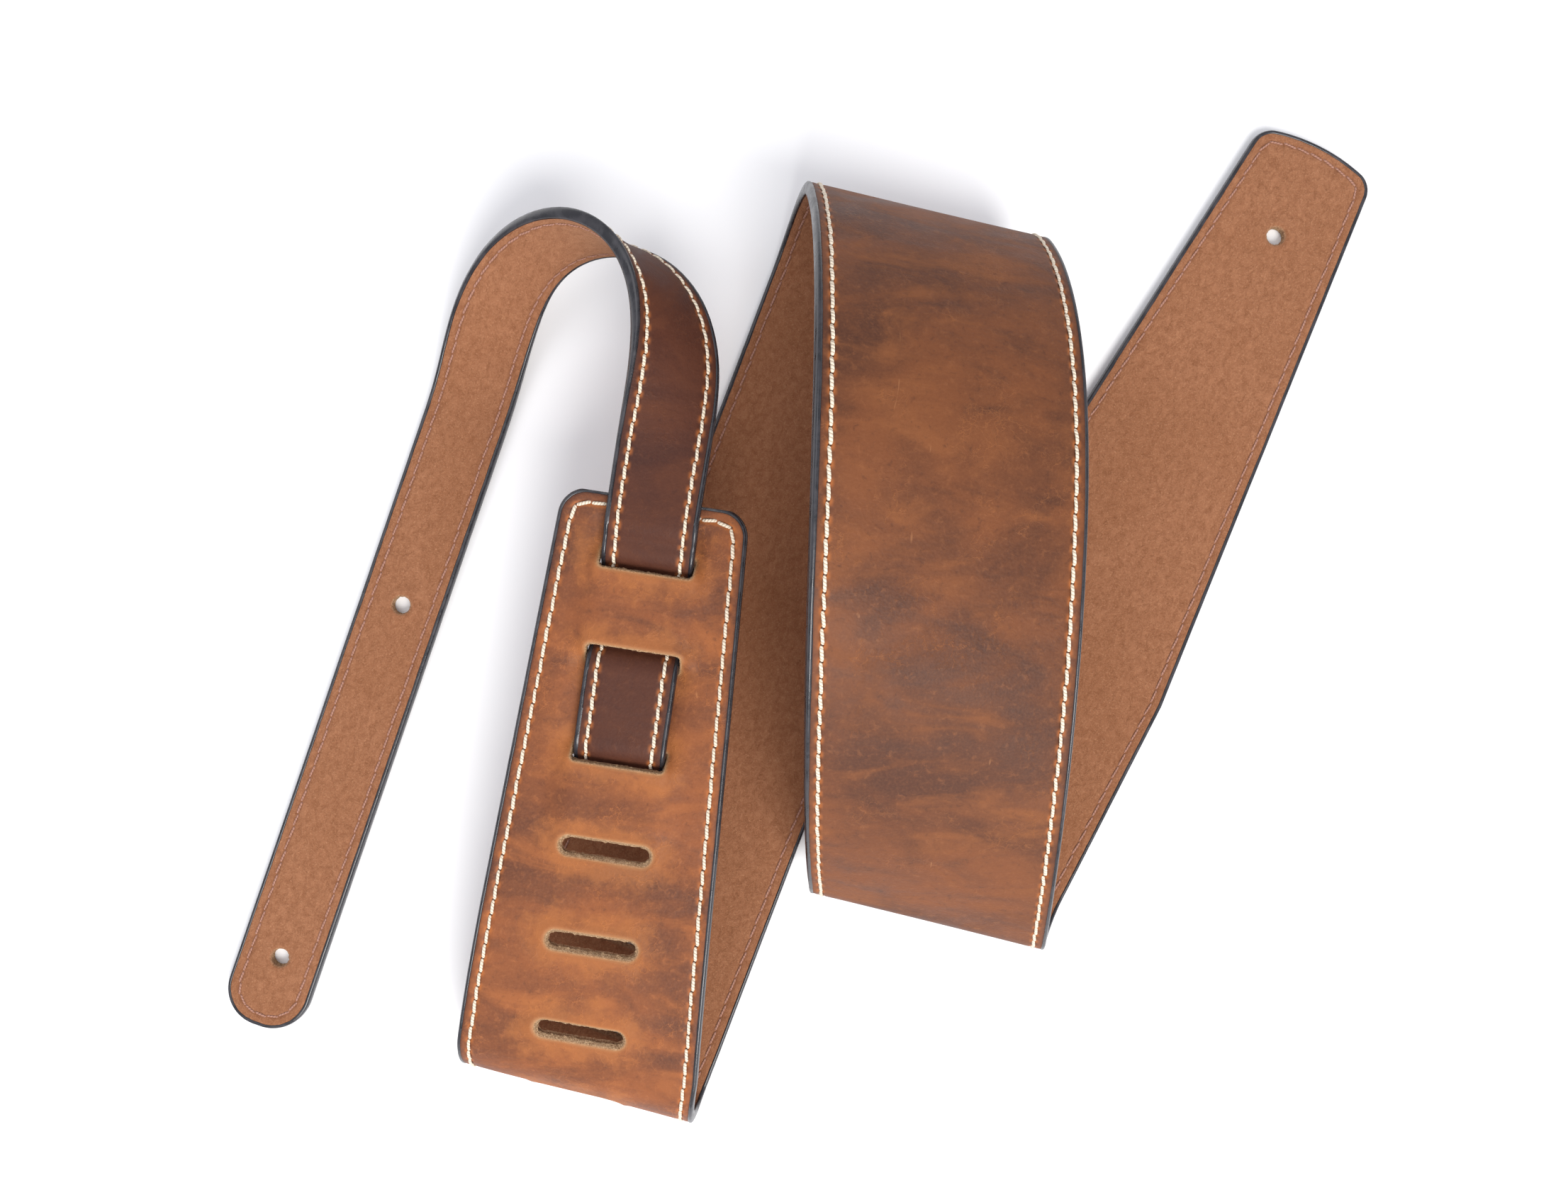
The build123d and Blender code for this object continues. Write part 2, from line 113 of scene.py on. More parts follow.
class Walk:
    """The line that a strap's glue line follows, with a ruling at every bend."""

    def __init__(self, point, along, across):
        self.point, self.along, self.across = point, along, across
        self.distance = 0.0
        self.marks = []

    def normal(self):
        return unit(np.cross(self.across, self.along))

    def mark(self, skew=0.0, lean=0.0):
        slant = math.tan(math.radians(skew))
        ruling = self.across + self.along * slant
        ruling = ruling + UP * (lean * (self.point[2] - FACE) / (STRAP_WIDTH / 2))
        normal = self.normal()
        normal = unit(normal - unit(ruling) * np.dot(normal, unit(ruling)))
        if self.marks and self.distance - self.marks[-1][0] < 1e-9:
            self.marks.pop()
        self.marks.append((self.distance, self.point, ruling, normal, slant))

    def run(self, length):
        self.point = self.point + self.along * length
        self.distance += length

    def curl(self, turn, radius, steps, skew=0.0, lean=0.0):
        angle = math.radians(skew)
        part = turn / steps
        half = math.radians(abs(part)) / 2
        arc = 2 * half * radius
        for _ in range(steps):
            ruling = self.across * math.cos(angle) + self.along * math.sin(angle)
            middle = turned(self.along, ruling, -part / 2)
            forward = unit(middle - ruling * np.dot(middle, ruling))
            self.point = self.point + forward * (2 * radius * math.sin(half))
            self.point = self.point + ruling * (arc * math.tan(angle))
            self.along = turned(self.along, ruling, -part)
            self.across = turned(self.across, ruling, -part)
            self.distance += arc / math.cos(angle)
            self.mark(skew, lean)

    def weave(self, rise, slope):
        radius = abs(rise) / (2 * (1 - math.cos(math.radians(slope))))
        side = -1 if rise > 0 else 1
        self.mark()
        self.curl(side * slope, radius, WEAVE_STEPS)
        self.curl(-side * slope, radius, WEAVE_STEPS)

    def loop(self, length, turn, steps, end_height):
        start = self.point[2]

        def height(share):
            base = start + (end_height - start) * ease(share)
            return base + TAIL_WIDTH / 2 * math.sin(math.pi * ease(share))

        def heading(share):
            return -turn * ease((share - LOOP_START) / LOOP_SHARE)

        step = length / steps
        for index in range(steps):
            share, after = index / steps, (index + 1) / steps
            climb = (height(after) - height(share)) / step
            flat = math.sqrt(1 - climb * climb)
            middle = level(heading((index + 0.5) / steps)) * flat
            self.point = self.point + (middle + UP * climb) * step
            self.distance += step
            roll = math.radians(180 * ease(after))
            right = level(heading(after) + 90)
            self.across = right * math.cos(roll) - UP * math.sin(roll)
            forward = level(heading(after)) * flat + UP * climb
            self.along = unit(forward - self.across * np.dot(forward, self.across))
            if index == steps - 1:
                self.along = level(-turn)
            self.mark()

    def settle(self):
        """Turns the marks into arrays that place() reads between."""
        self.at = np.array([m[0] for m in self.marks])
        self.points = np.array([m[1] for m in self.marks]) - CENTRE
        self.rulings = np.array([m[2] for m in self.marks])
        self.normals = np.array([m[3] for m in self.marks])
        self.slants = np.array([m[4] for m in self.marks])
        return self

    def place(self, flat):
        """Bends flat points (u, s, n) to where they lie, in metres."""
        u, s, n = np.asarray(flat, float).T
        at = s.copy()
        for _ in range(12):
            at = s - u * np.interp(at, self.at, self.slants)

        def read(table):
            return np.stack([np.interp(at, self.at, table[:, i]) for i in range(3)], 1)

        normals = read(self.normals)
        normals /= np.linalg.norm(normals, axis=1)[:, None]
        out = read(self.points) + read(self.rulings) * u[:, None] + normals * n[:, None]
        out[:, 2] = np.maximum(out[:, 2], 0.0)
        return out * MM


def slot_at(number):
    return SLOT_SETBACK + (number - 1) * SLOT_PITCH


def lay_main():
    """Walks the main strap from its slotted end, folded in three, to the tongue's tip."""
    skew = -MIDDLE_HEADING / 2
    drop = math.radians(SLOTTED_DROP)
    steep = math.cos(math.radians(SLOTTED_DROP + SHOULDER_TURN))
    height = FACE + LOW_BASE_RADIUS + LOW_TOP_RADIUS * steep
    height += SHOULDER_RADIUS * (math.cos(drop) - steep)
    height += SLOTTED_RUN * math.sin(drop) * math.cos(math.radians(skew))
    ruling = unit(level(270) + level(180) * math.tan(math.radians(skew)))
    along = turned(level(180), ruling, -SLOTTED_DROP)
    across = turned(level(270), ruling, -SLOTTED_DROP)
    walk = Walk(np.array([0.0, 0.0, height]), along, across)
    start = (walk.point, -walk.across, -walk.along, walk.normal())
    walk.mark()
    walk.run(END_PLATE)
    walk.mark()
    walk.run(SLOTTED_RUN - END_PLATE)
    walk.mark(skew)
    walk.curl(SHOULDER_TURN, SHOULDER_RADIUS, SHOULDER_STEPS, skew)
    walk.curl(90 - SLOTTED_DROP - SHOULDER_TURN, LOW_TOP_RADIUS, FOLD_STEPS // 2, skew)
    walk.curl(90, LOW_BASE_RADIUS, FOLD_STEPS // 2, skew)
    walk.run(MIDDLE_RUN)
    skew = (ARCH_HEADING - MIDDLE_HEADING) / 2
    walk.mark(skew)
    rise = math.cos(math.radians(ARCH_RISE))
    fall = math.cos(math.radians(ARCH_FALL))
    near = FAR_RADIUS * (1 + rise) + ARCH_FAR * (1 - rise) - NEAR_RADIUS * (1 + fall)
    near /= 1 - fall
    walk.curl(180 - ARCH_RISE, FAR_RADIUS, FOLD_STEPS, skew, ARCH_LEAN)
    walk.curl(ARCH_RISE, ARCH_FAR, ARCH_STEPS, skew, ARCH_LEAN)
    walk.run(2 * ARCH_CREST)
    skew = (ARCH_HEADING - TONGUE_HEADING) / 2
    walk.mark(skew, ARCH_LEAN)
    walk.curl(ARCH_FALL, near, ARCH_STEPS, skew, ARCH_LEAN)
    walk.curl(180 - ARCH_FALL, NEAR_RADIUS, FOLD_STEPS, skew, ARCH_LEAN)
    walk.run(TONGUE_RUN)
    walk.mark()
    flex = (walk.distance, walk.point - CENTRE, walk.along)
    walk.run(FLEX_GAP + TONGUE_FREE)
    length = walk.distance
    walk.run(PAST_END)
    walk.mark()
    return walk.settle(), start, flex, length


def lay_tail(start):
    """Walks the tail from its hidden end through the slots and round the loop to its tip."""
    origin, right, back, up = start
    first = slot_at(THREADED) + TAIL_HIDDEN
    walk = Walk(origin - back * first - up * SHIFT, back, right)

    def to_edge():
        return float(np.dot(origin - walk.point, back))

    walk.mark()
    walk.run(HIDDEN_PLATE)
    walk.mark()
    rise = 2 * SHIFT
    reach = rise / (2 * (1 - math.cos(math.radians(WEAVE_SLOPE))))
    reach *= math.sin(math.radians(WEAVE_SLOPE))
    for number in range(THREADED, 0, -1):
        walk.run(to_edge() - slot_at(number) - reach)
        walk.weave(rise, WEAVE_SLOPE)
        rise = -rise
    walk.weave(SHIFT, STEP_SLOPE)
    walk.run(to_edge() - LOOP_LEAD)
    walk.mark()
    walk.loop(LOOP_LENGTH, LOOP_TURN, LOOP_STEPS, FACE)
    walk.run(TAIL_RUN)
    walk.mark()
    flex = (walk.distance, walk.point - CENTRE, walk.along)
    walk.run(FLEX_GAP + TAIL_FREE)
    length = walk.distance
    walk.run(PAST_END)
    walk.mark()
    return walk.settle(), flex, length


# ---- flat outlines ----

class Cut:
    """The flat outline of one strap between a split row and one of its ends."""

    def __init__(self, split, end, ahead, width, tip_width, slope, corner, bulge, holes):
        self.split, self.end, self.ahead = split, end, ahead
        self.width, self.holes = width, holes
        bulge = max(bulge, 0.001)
        half = tip_width / 2
        self.corner = corner
        self.sweep = (half * half + bulge * bulge) / (2 * bulge)
        self.hub = bulge - self.sweep          # big arc's centre, measured past the end
        tilt = math.atan(slope)
        across, beyond = half - corner, -corner
        for _ in range(20):
            across = half - slope * beyond - corner / math.cos(tilt)
            beyond = self.hub + math.sqrt((self.sweep - corner) ** 2 - across ** 2)
        self.middle = (across, beyond)
        self.tilt = tilt
        self.lean = math.atan2(beyond - self.hub, across)

    def around(self, inset, step=0.9):
        """Points and outward directions round the end from the left side to the right."""
        across, beyond = self.middle
        radius = self.corner - inset
        count = max(3, int(self.corner * (self.lean - self.tilt) / step))
        angles = np.linspace(self.tilt, self.lean, count + 1)
        arc = [(across + radius * math.cos(a), beyond + radius * math.sin(a),
                math.cos(a), math.sin(a)) for a in angles]
        sweep = self.sweep - inset
        spread = math.pi / 2 - self.lean
        count = max(1, int(sweep * spread / (1.6 * step)))
        top = []
        for a in np.linspace(self.lean, math.pi / 2, count + 1)[1:]:
            top.append((sweep * math.cos(a), self.hub + sweep * math.sin(a),
                        math.cos(a), math.sin(a)))
        right = arc + top
        left = [(-x, y, -dx, dy) for x, y, dx, dy in right]
        return np.array(left + right[-2::-1])

    def path(self, inset, rows, step=0.9):
        """Flat points (u, s) and outward directions along one inset, left split to right."""
        bend = self.around(inset, step)
        side = 1 if self.ahead else -1
        bend = np.stack([bend[:, 0], self.end + side * bend[:, 1],
                         bend[:, 2], side * bend[:, 3]], 1)
        first = bend[0, 1]
        gap = 0.35
        rows = rows[(rows < first - gap) if self.ahead else (rows > first + gap)]
        rows = np.sort(rows) if self.ahead else np.sort(rows)[::-1]
        half = self.width(rows) - inset
        zero = np.zeros(len(rows))
        left = np.stack([-half, rows, zero - 1, zero], 1)
        right = np.stack([half, rows, zero + 1, zero], 1)[::-1]
        return np.concatenate([left, bend, right])

    def edge(self, u, s):
        """Distance in from the outline, near enough."""
        past = (s - self.end) * (1 if self.ahead else -1)
        across, beyond = self.middle
        inside = self.width(s) - np.abs(u)
        corner = self.corner - np.hypot(np.abs(u) - across, past - beyond)
        top = self.sweep - np.hypot(u, past - self.hub)
        turn = (np.abs(u) > across) & (past > beyond)
        return np.where(turn, np.minimum(corner, inside), np.minimum(inside, top))

    def rim(self, u, s):
        """Distance from the nearest hole, up to a limit."""
        nearest = np.full(len(u), FAR_FROM_HOLES)
        for hole in self.holes:
            nearest = np.minimum(nearest, hole.distance(u, s))
        return nearest


class Hole:
    """A round hole or slot: a rounded rectangle at (0, s)."""

    def __init__(self, s, half_length, half_width, corner):
        self.s, self.corner = s, corner
        self.flat = half_length - corner
        self.rise = half_width - corner

    def distance(self, u, s):
        du = np.maximum(np.abs(u) - self.flat, 0)
        ds = np.maximum(np.abs(s - self.s) - self.rise, 0)
        inner = np.minimum(np.maximum(np.abs(u) - self.flat, np.abs(s - self.s) - self.rise), 0)
        return np.hypot(du, ds) + inner - self.corner

    def inward(self, u, s):
        """Directions from points on the rim into the hole."""
        core = np.stack([np.clip(u, -self.flat, self.flat),
                         np.clip(s, self.s - self.rise, self.s + self.rise)], 1)
        away = core - np.stack([u, s], 1)
        return away / np.maximum(np.hypot(*away.T), 1e-6)[:, None]

    def loop(self, grow, step=0.7):
        """Counter-clockwise points and outward directions at a distance outside the hole."""
        out = []
        arc = max(4, int(self.corner * math.pi / 2 / step) + 1)
        corners = [(1, 1, 0), (-1, 1, 90), (-1, -1, 180), (1, -1, 270)]
        for index, (x, y, start) in enumerate(corners):
            for a in np.linspace(0, 90, arc + 1):
                t = math.radians(start + a)
                out.append((x * self.flat + (self.corner + grow) * math.cos(t),
                            self.s + y * self.rise + (self.corner + grow) * math.sin(t),
                            math.cos(t), math.sin(t)))
            span = 2 * (self.flat if index % 2 == 0 else self.rise)
            count = int(span / step)
            following = corners[(index + 1) % 4]
            for k in range(1, count):
                share = k / count
                t = math.radians(start + 90)
                x_at = x + (following[0] - x) * share
                y_at = y + (following[1] - y) * share
                out.append((x_at * self.flat + (self.corner + grow) * math.cos(t),
                            self.s + y_at * self.rise + (self.corner + grow) * math.sin(t),
                            math.cos(t), math.sin(t)))
        points = np.array(out)
        keep = [0]
        for i in range(1, len(points)):
            if np.hypot(*(points[i, :2] - points[keep[-1], :2])) > 0.05 * (1 + grow):
                keep.append(i)
        return points[keep]


THREADED_CORNER = 1.2       # threaded slots are cut squarer than the open ones
FAR_FROM_HOLES = 30.0
FACE_GROOVE, LINING_GROOVE = 0.34, 0.2
WALL_STEPS = 4
FIBRE_JITTER, TUFT = 0.13, 0.6   # ragged fibre on cut walls, and its bulge into open slots
INSETS = [0.35, 0.8, 1.4, 2.0, 2.45, 2.75, 3.05, 3.35, 3.65, 4.1, 4.8]
HOLE_RINGS = [0.0, 0.25, 0.6, 1.1, 1.8, 2.7]
ROW_BEND, FINE_ROW, COARSE_ROW = 0.07, 0.55, 2.2   # radians a row may bend, row spacing
COLUMN = 3.2


def row_places(walk, low, high):
    """Row places from low to high, closer where the walk curls tightly."""
    bend = np.zeros(len(walk.at))
    turn = np.arccos(np.clip(np.sum(walk.normals[1:] * walk.normals[:-1], 1), -1, 1))
    gap = np.diff(walk.at)
    bend[1:] = turn / np.maximum(gap, 0.05)
    fine = np.arange(low, high + 0.05, 0.1)
    near = np.interp(fine, walk.at, np.maximum(bend, np.roll(bend, -1)))
    spacing = np.clip(ROW_BEND / np.maximum(near, 1e-6), FINE_ROW, COARSE_ROW)
    count = np.concatenate([[0], np.cumsum(0.1 / spacing[:-1])])
    gaps = max(2, int(round(count[-1])))
    return np.interp(np.linspace(0, count[-1], gaps + 1), count, fine)


def triangulate(cut, rows):
    """Flat points and triangles of a cut, following its edge, its seam and its holes."""
    points, edges = [], []

    def chain(new, closed):
        first = len(points)
        points.extend(map(tuple, new))
        total = len(new)
        edges.extend((first + i, first + i + 1) for i in range(total - 1))
        if closed:
            edges.append((first + total - 1, first))
        return list(range(first, first + total))

    rings = [chain(cut.path(inset, rows)[:, :2], False) for inset in INSETS]
    boundary = [rings[0]]
    loops = []
    for hole in cut.holes:
        for index, grow in enumerate(HOLE_RINGS):
            ids = chain(hole.loop(grow)[:, :2], True)
            if index == 0:
                loops.append(ids[::-1])
    inner = INSETS[-1] + 1.2
    columns = np.linspace(-1, 1, 2 * int(cut.width(np.array([cut.split]))[0] / COLUMN) + 1)
    for s in rows:
        half = float(cut.width(np.array([s]))[0]) - inner
        row = np.stack([columns * half, np.full(len(columns), s)], 1)
        at_split = abs(s - cut.split) < 1e-6
        if not at_split:
            good = cut.edge(row[:, 0], row[:, 1]) > inner - 0.3
            for hole in cut.holes:
                good &= hole.distance(row[:, 0], row[:, 1]) > HOLE_RINGS[-1] + 0.7
            row = row[good]
        ids = list(range(len(points), len(points) + len(row)))
        points.extend(map(tuple, row))
        if at_split:
            left = [ring[0] for ring in rings]
            right = [ring[-1] for ring in reversed(rings)]
            close = left + ids + right
            edges.extend(zip(close[:-1], close[1:]))
            boundary.append(close[1:-1][::-1])
    outer = boundary[0] + boundary[1]
    flat = np.array(points)
    found = delaunay_2d_cdt([Vector(p) for p in flat], edges, [], 0, 1e-7)
    if len(found[0]) != len(points):
        raise SystemExit("the flat cut has doubled points")
    tris = np.array([t if len(t) == 3 else t[:3] for t in found[2]])
    middle = flat[tris].mean(1)
    keep = cut.width(middle[:, 1]) - INSETS[0] - np.abs(middle[:, 0]) > 1e-5
    for hole in cut.holes:
        keep &= hole.distance(middle[:, 0], middle[:, 1]) > -1e-6
    tris = tris[keep]
    a, b, c = flat[tris[:, 0]], flat[tris[:, 1]], flat[tris[:, 2]]
    area = ((b - a)[:, 0] * (c - a)[:, 1] - (b - a)[:, 1] * (c - a)[:, 0]) / 2
    tris[area < 0] = tris[area < 0][:, ::-1]
    if not cut.ahead:
        outer = outer[::-1]
    return flat, tris, outer[::-1], loops, float(np.abs(area).sum())


def mesh_object(name, points, faces, material, attributes=None, sharp=50):
    mesh = bpy.data.meshes.new(name)
    mesh.from_pydata([tuple(p) for p in points], [], [tuple(int(i) for i in f) for f in faces])
    mesh.validate()
    for key, values in (attributes or {}).items():
        values = np.asarray(values, np.float32)
        if values.ndim == 2:
            mesh.attributes.new(key, "FLOAT_VECTOR", "POINT").data.foreach_set(
                "vector", values.ravel())
        else:
            mesh.attributes.new(key, "FLOAT", "POINT").data.foreach_set("value", values)
    mesh.shade_smooth()
    mesh.set_sharp_from_angle(angle=math.radians(sharp))
    mesh.materials.append(material)
    obj = bpy.data.objects.new(name, mesh)
    bpy.context.scene.collection.objects.link(obj)
    return obj


def ply(name, walk, cut, sheet, outer_height, lift, material):
    """One ply of leather as a closed sheet, from the glue line to its outer side."""
    flat, tris, outer, loops, area = sheet
    sign = 1 if outer_height > 0 else -1
    u, s = flat.T
    edge = cut.edge(u, s)
    rim = cut.rim(u, s)
    groove = (FACE_GROOVE if sign > 0 else LINING_GROOVE) * np.exp(-((edge - SEAM) / 0.6) ** 2)
    crown = 0.3 * np.clip(1 - edge / 1.5, 0, 1) ** 2
    lip = 0.22 * np.exp(-((rim - 1.3) / 0.8) ** 2) - 0.4 * np.clip(1 - rim / 0.55, 0, 1) ** 2
    swell = 0.08 * np.sin(s / 9.1 + u / 13.0) * np.clip((edge - 4) / 6, 0, 1)
    relief = swell - groove - crown + lip
    inner_n = lift(u, s)
    outer_n = outer_height + sign * relief + inner_n
    top, bottom = (outer_n, inner_n) if sign > 0 else (inner_n, outer_n)
    count = len(u)
    points = [np.stack([u, s, top], 1), np.stack([u, s, bottom], 1)]
    faces = [tris, tris[:, ::-1] + count]
    raw = [np.clip(1 - rim / 0.5, 0, 1)] * 2
    extra = 2 * count
    for hole, ids in zip([None] + cut.holes, [outer] + loops):
        ids = np.array(ids)
        fibre = hole is not None
        inward = hole.inward(u[ids], s[ids]) if fibre else np.zeros((len(ids), 2))
        open_slot = fibre and hole.flat > 0.1 and hole.corner > THREADED_CORNER
        tuft = TUFT if open_slot else 0.0
        rings = [ids]
        for k in range(1, WALL_STEPS):
            share = k / WALL_STEPS
            jitter = RANDOM.normal(0, FIBRE_JITTER if fibre else 0, (len(ids), 2))
            jitter += inward * tuft * math.sin(math.pi * share)
            ring = np.stack([u[ids] + jitter[:, 0], s[ids] + jitter[:, 1],
                             top[ids] * (1 - share) + bottom[ids] * share], 1)
            points.append(ring)
            raw.append(np.full(len(ids), 1.0 if fibre else 0.0))
            rings.append(np.arange(extra, extra + len(ids)))
            extra += len(ids)
        rings.append(ids + count)
        for a, b in zip(rings[:-1], rings[1:]):
            a_next, b_next = np.roll(a, -1), np.roll(b, -1)
            faces.append(np.stack([a, b, b_next], 1))
            faces.append(np.stack([a, b_next, a_next], 1))
    points = np.concatenate(points)
    faces = np.concatenate(faces)
    attributes = {
        "flat": points * MM,
        "edge": cut.edge(points[:, 0], points[:, 1]),
        "rim": np.maximum(cut.rim(points[:, 0], points[:, 1]), 0),
        "raw": np.concatenate(raw),
    }
    obj = mesh_object(name, walk.place(points), faces, material, attributes)
    return obj, area


# outline of the edge paint: distance outside the cut edge, height over the glue line
BEAD = [(-0.85, 1.86), (-0.5, 2.0), (-0.1, 1.95), (0.16, 1.62), (0.32, 1.05), (0.37, 0.3),
        (0.32, -0.45), (0.16, -1.02), (-0.1, -1.34), (-0.5, -1.4), (-0.8, -1.28), (-0.9, 0.3)]


def bead(name, walk, cut, rows, lift, material):
    """Crowned edge paint, swept round the outline and smeared a little over both sides."""
    path = cut.path(0.0, rows, 0.6)
    count, sides = len(path), len(BEAD)
    wander = np.cumsum(RANDOM.normal(0, 0.05, count))
    wander -= np.interp(np.arange(count), [0, count - 1], [wander[0], wander[-1]])
    wander = 0.14 * np.sin(3 * wander) + RANDOM.normal(0, 0.02, count)
    wander[0] = wander[-1] = 0
    points = []
    for d, n in BEAD:
        shove = wander if d < -0.6 else 0.25 * wander
        out = d + shove
        u = path[:, 0] + path[:, 2] * out
        s = path[:, 1] + path[:, 3] * out
        points.append(np.stack([u, s, n + lift(u, s)], 1))
    points = np.stack(points, 1).reshape(-1, 3)
    ring = np.arange(sides)
    faces = []
    for i in range(count - 1):
        a, b = i * sides + ring, (i + 1) * sides + ring
        faces += [(a[k], b[k], b[(k + 1) % sides], a[(k + 1) % sides]) for k in range(sides)]
    faces += [tuple(ring), tuple((count - 1) * sides + ring[::-1])]
    if cut.ahead:
        faces = [f[::-1] for f in faces]
    return mesh_object(name, walk.place(points), faces, material, {"flat": points * MM}, 70)


# half width and half thickness of the thread on each side
FACE_THREAD, BOBBIN_THREAD = (0.46, 0.34), (0.3, 0.16)
STITCH_SHARES = np.array([0.03, 0.07, 0.13, 0.22, 0.36, 0.5, 0.64, 0.78, 0.87, 0.93, 0.97])
STITCH_SIDES = 8
STITCH_SLANT = 0.16


def seam_holes(cut, pitch):
    """Needle holes along the seam, evenly spaced on both sides and round the end."""
    bend = cut.around(SEAM, 0.3)
    side = 1 if cut.ahead else -1
    bend = np.stack([bend[:, 0], cut.end + side * bend[:, 1]], 1)
    if cut.ahead:
        last = math.floor(bend[0, 1] / pitch)
        rows = np.arange(round(cut.split / pitch), last + 1) * pitch
    else:
        first = math.ceil(bend[0, 1] / pitch)
        rows = np.arange(first, round(cut.split / pitch) + 1)[::-1] * pitch
    half = cut.width(rows) - SEAM
    left = np.stack([-half, rows], 1)
    right = np.stack([half, rows], 1)[::-1]
    around = np.concatenate([left[-1:], bend, right[:1]])
    length = np.concatenate([[0], np.cumsum(np.hypot(*np.diff(around, axis=0).T))])
    count = max(2, round(length[-1] / pitch))
    marks = np.linspace(0, length[-1], count + 1)[1:-1]
    bend = np.stack([np.interp(marks, length, around[:, i]) for i in range(2)], 1)
    return np.concatenate([left, bend, right])


def stitches(name, walk, cut, pitch, face, lift, material):
    """A short length of thread from each needle hole to the next, on the face or the suede."""
    holes = seam_holes(cut, pitch)
    wide, tall = FACE_THREAD if face else BOBBIN_THREAD
    share = STITCH_SHARES
    sides = STITCH_SIDES
    crest = np.sin(np.pi * share) ** 0.45
    size = np.clip(np.sin(np.pi * share) * 2.6, 0.42, 1) ** 0.5
    around = np.linspace(0, 2 * np.pi, sides + 1)[:-1]
    if face:
        height = FACE - 0.62 + 0.68 * crest
    else:
        height = -(LINING - 0.3 + 0.27 * crest)
    points, faces, twist = [], [], []
    total = 0
    for a, b in zip(holes[:-1], holes[1:]):
        step = b - a
        long = np.hypot(*step)
        along = step / long
        across = np.array([-along[1], along[0]])
        slant = STITCH_SLANT + RANDOM.normal(0, 0.05)
        drift = RANDOM.normal(0, 0.05)
        puff = 1 + RANDOM.normal(0, 0.05)
        rings = []
        for f, n, r in zip(share, height, size):
            middle = a + step * f + across * (slant * (f - 0.5) * 2 + drift)
            out = np.cos(around)[:, None] * across * wide * r * puff
            place = middle + out
            rise = n + np.sin(around) * tall * r * puff
            rings.append(np.column_stack([place, rise]))
            twist.append(np.column_stack([np.full(sides, f * long),
                                          around / (2 * np.pi) * 1.1,
                                          np.full(sides, drift * 10)]))
        ring = np.arange(sides)
        for i in range(len(share) - 1):
            low = total + i * sides + ring
            high = low + sides
            faces += [(low[k], low[(k + 1) % sides], high[(k + 1) % sides], high[k])
                      for k in range(sides)]
        faces.append(tuple(total + ring[::-1]))
        faces.append(tuple(total + (len(share) - 1) * sides + ring))
        points += rings
        total += len(share) * sides
    points = np.concatenate(points)
    points[:, 2] += lift(points[:, 0], points[:, 1])
    return mesh_object(name, walk.place(points), faces, material,
                       {"flat": points * MM, "twist": np.concatenate(twist)}, 80)


# ---- materials ----

class Paint:
    """Builds one procedural material."""

    def __init__(self, name):
        self.material = bpy.data.materials.new(name)
        self.material.use_nodes = True
        self.tree = self.material.node_tree
        self.shader = next(n for n in self.tree.nodes if n.type == "BSDF_PRINCIPLED")

    def add(self, kind, inputs=None, out=0, **settings):
        made = self.tree.nodes.new(kind)
        for key, value in settings.items():
            setattr(made, key, value)
        for key, value in (inputs or {}).items():
            self.put(made.inputs[key], value)
        return made.outputs[out]

    def put(self, socket, value):
        if isinstance(value, bpy.types.NodeSocket):
            self.tree.links.new(value, socket)
        elif isinstance(value, tuple) and len(value) == 3 and socket.type == "RGBA":
            socket.default_value = (*value, 1)
        else:
            socket.default_value = value

    def set(self, key, value):
        self.put(self.shader.inputs[key], value)

    def read(self, name, out="Fac"):
        return self.add("ShaderNodeAttribute", out=out, attribute_name=name)

    def math(self, operation, a, b=0.0, c=0.0):
        return self.add("ShaderNodeMath", {0: a, 1: b, 2: c}, operation=operation)

    def noise(self, vector, scale, detail=4.0, rough=0.5, distort=0.0, out=0):
        inputs = {"Vector": vector, "Scale": scale, "Detail": detail, "Roughness": rough,
                  "Distortion": distort}
        return self.add("ShaderNodeTexNoise", inputs, out)

    def between(self, value, low, high, to_low=0.0, to_high=1.0):
        """The value, stretched smoothly from one range to another."""
        return self.add(
            "ShaderNodeMapRange",
            {"Value": value, "From Min": low, "From Max": high, "To Min": to_low,
             "To Max": to_high},
            interpolation_type="SMOOTHSTEP")

    def mix(self, share, a, b, blend="MIX"):
        made = self.tree.nodes.new("ShaderNodeMix")
        made.data_type = "RGBA"
        made.blend_type = blend
        for index, value in ((0, share), (6, a), (7, b)):
            self.put(made.inputs[index], value)
        return made.outputs[2]

    def stretched(self, vector, scale):
        return self.add("ShaderNodeMapping", {"Vector": vector, "Scale": scale})

    def bump(self, height, strength, distance, normal=None):
        inputs = {"Height": height, "Strength": strength, "Distance": distance}
        if normal is not None:
            inputs["Normal"] = normal
        return self.add("ShaderNodeBump", inputs)


